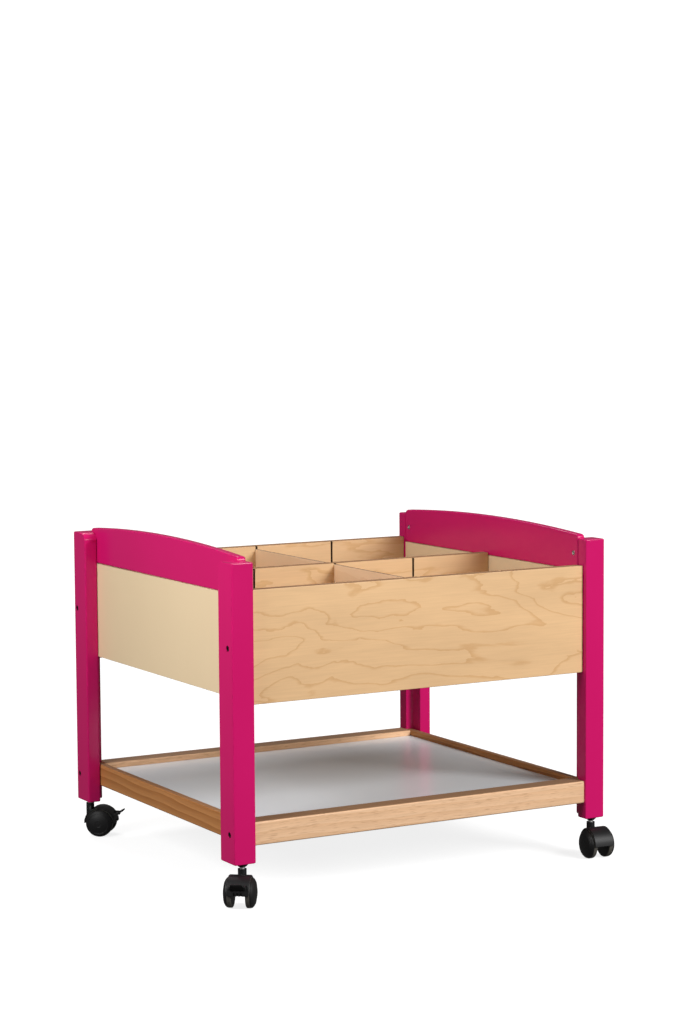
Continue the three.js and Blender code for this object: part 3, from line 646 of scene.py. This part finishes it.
# Castor wheels: each half wheel is turned in one piece, a scuffed running tread and a domed
# black disc with a moulded ring and a small hub, on a blind bore for the axle.
wheel_radius = 0.024
wheel_width = 0.0162
tread_width = 0.0068
wheel_gap = 0.022
bore_radius = 0.00305
bore_depth = 0.0137
ring_step = 0.0005
tread_skin = 0.0009
dome = wheel_width - tread_width
# The turned outline, as radius and depth, from the bore over the tread to the hub.
rings = [
    (bore_radius, 0.0),
    (wheel_radius - 0.0012, 0.0),
    (wheel_radius - 0.0003, 0.0006),
    (wheel_radius, 0.0014),
    (wheel_radius, tread_width - 0.0004),
    (wheel_radius - 0.0003, tread_width),
]
for angle in (14, 28, 42):
    rings.append((wheel_radius * math.cos(math.radians(angle)),
                  tread_width + dome * math.sin(math.radians(angle))))
for angle in (44, 56, 68, 76):
    rings.append((wheel_radius * math.cos(math.radians(angle)),
                  tread_width + dome * math.sin(math.radians(angle)) - ring_step))
rings += [(0.0050, wheel_width - 0.0012), (0.0022, wheel_width - 0.0010)]
bpy.ops.object.select_all(action="DESELECT")
bpy.ops.mesh.primitive_circle_add(vertices=64, radius=bore_radius, fill_type="NGON",
                                  location=(0.0, bore_depth, 0.0),
                                  rotation=(math.radians(90), 0.0, 0.0))
half_wheel = bpy.context.active_object
bpy.ops.object.transform_apply(location=True, rotation=True, scale=True)
bpy.ops.object.mode_set(mode="EDIT")
bpy.ops.mesh.select_all(action="SELECT")
radius, depth = bore_radius, bore_depth
for next_radius, next_depth in rings:
    bpy.ops.mesh.extrude_region_move(
        TRANSFORM_OT_translate={"value": (0.0, next_depth - depth, 0.0)})
    grow = next_radius / radius
    bpy.ops.transform.resize(value=(grow, 1.0, grow), center_override=(0.0, next_depth, 0.0))
    radius, depth = next_radius, next_depth
bpy.ops.mesh.select_all(action="SELECT")
bpy.ops.mesh.normals_make_consistent(inside=False)
bpy.ops.object.mode_set(mode="OBJECT")
bpy.ops.object.shade_smooth_by_angle(angle=math.radians(28))
half_wheel.data.materials.append(black_nylon)
half_wheel.data.materials.append(nylon_tread)
for face in half_wheel.data.polygons:
    reach = math.hypot(face.center.x, face.center.z)
    on_tread = reach > wheel_radius - tread_skin and face.center.y < tread_width
    face.material_index = 1 if on_tread else 0

rolls = {joint["name"]: joint for joint in frame["joints"]}
for corner in corners:
    for half, side in (("a", 1), ("b", -1)):
        node = "wheel_" + half + "_" + corner
        roll = rolls["roll_" + half + "_" + corner]
        axle_line = Vector(roll["axis"])
        spot = Vector(roll["pos_m"]) + axle_line * side * wheel_gap / 2
        turn = math.atan2(axle_line.y, axle_line.x) - side * math.pi / 2
        wheel = placed_copy(half_wheel, "turned_" + node, spot, turn)
        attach(wheel, node)
        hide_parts(node)
bpy.data.objects.remove(half_wheel)


# Studio: white paper under and behind the bin, a large softbox to the right of the camera,
# smaller ones on the left and high behind, and the camera where the photograph was taken.
stand = Vector((-2.0770, -3.7088, 0.9619))
right = Vector((0.870600, -0.491946, -0.006718))
down = Vector((-0.050183, -0.075209, -0.995904))
ahead = Vector((0.489426, 0.867371, -0.090164))
bpy.ops.object.camera_add()
camera = bpy.context.active_object
camera.name = "photograph_camera"
camera.matrix_world = Matrix((
    (right.x, -down.x, -ahead.x, stand.x),
    (right.y, -down.y, -ahead.y, stand.y),
    (right.z, -down.z, -ahead.z, stand.z),
    (0.0, 0.0, 0.0, 1.0),
))
camera.data.sensor_width = 36.0
camera.data.lens = 87.79
camera.data.clip_end = 50.0
bpy.context.scene.camera = camera
bpy.context.scene.view_settings.view_transform = "Standard"

floor_width = 2.5
floor_front = 1.5
floor_back = 1.6
bend_radius = 0.8
bend_share = 0.75
wall_height = 3.2
view_turn = math.atan2(ahead.y, ahead.x) - math.pi / 2
white_paper, tree, shader = new_finish("white_paper")
place = tree.nodes.new("ShaderNodeTexCoord")
skin = shader_node(tree, "ShaderNodeGroup", {"node_tree": ripple},
                   Vector=place.outputs["Object"], Size=60.0)
tint = shader_node(tree, "ShaderNodeMix", {"data_type": "RGBA"}, in_0=skin.outputs["Tone"],
                   in_6=(0.34, 0.34, 0.34, 1), in_7=(0.38, 0.38, 0.38, 1))
tree.links.new(tint.outputs[2], shader.inputs["Base Color"])
shader.inputs["Roughness"].default_value = 0.9
shader.inputs["Specular IOR Level"].default_value = 0.1
shader.inputs["Emission Color"].default_value = (1.0, 1.0, 1.0, 1)
shader.inputs["Emission Strength"].default_value = 0.82

bpy.ops.object.select_all(action="DESELECT")
bpy.ops.mesh.primitive_plane_add(size=1.0, location=(0.0, (floor_back - floor_front) / 2, 0.0))
paper_floor = bpy.context.active_object
paper_floor.name = "paper_floor"
paper_floor.scale = (floor_width, floor_front + floor_back, 1.0)
bpy.ops.object.transform_apply(location=True, rotation=True, scale=True)
bpy.ops.object.select_all(action="DESELECT")
bpy.ops.mesh.primitive_plane_add(size=1.0, location=(0.0, floor_back + 0.5, 0.0))
paper_wall = bpy.context.active_object
paper_wall.name = "paper_wall"
paper_wall.scale = (floor_width, 1.0, 1.0)
bpy.ops.object.transform_apply(location=True, rotation=True, scale=True)
bpy.ops.object.mode_set(mode="EDIT")
bpy.ops.mesh.select_all(action="SELECT")
bpy.ops.mesh.subdivide(number_cuts=15)
bpy.ops.object.mode_set(mode="OBJECT")
for vertex in paper_wall.data.vertices:
    bend = min((vertex.co.y - floor_back) / bend_share, 1.0) * math.pi / 2
    over = max((vertex.co.y - floor_back - bend_share) / (1.0 - bend_share), 0.0)
    vertex.co.y = floor_back + bend_radius * math.sin(bend)
    vertex.co.z = bend_radius * (1.0 - math.cos(bend)) + over * (wall_height - bend_radius)
for paper in (paper_floor, paper_wall):
    paper.rotation_euler = (0.0, 0.0, view_turn)
    paper.select_set(True)
    bpy.context.view_layer.objects.active = paper
    bpy.ops.object.transform_apply(location=True, rotation=True, scale=True)
    bpy.ops.object.shade_smooth()
    paper.data.materials.append(white_paper)
    paper.visible_diffuse = False
    paper.visible_glossy = False

world = bpy.data.worlds.new("studio_light")
world.use_nodes = True
backdrop = world.node_tree.nodes["Background"]
backdrop.inputs["Color"].default_value = (1.0, 0.98, 0.96, 1)
path = world.node_tree.nodes.new("ShaderNodeLightPath")
fill = shader_node(world.node_tree, "ShaderNodeMapRange", Value=path.outputs["Is Camera Ray"],
                   To_Min=0.12, To_Max=0.86)
world.node_tree.links.new(fill.outputs["Result"], backdrop.inputs["Strength"])
bpy.context.scene.world = world
bin_middle = Vector((0.0, 0.0, 0.3))
for name, spot, size, power in (
    ("front_softbox", (2.00, -4.48, 2.80), 2.4, 308.0),
    ("left_softbox", (-1.38, -0.30, 0.90), 0.7, 14.6),
    ("top_softbox", (0.10, 1.80, 3.00), 1.4, 42.0),
):
    bpy.ops.object.light_add(type="AREA", location=spot)
    lamp = bpy.context.active_object
    lamp.name = name
    lamp.data.size = size
    lamp.data.energy = power
    aim = bin_middle - Vector(spot)
    lamp.rotation_euler = aim.to_track_quat("-Z", "Y").to_euler()
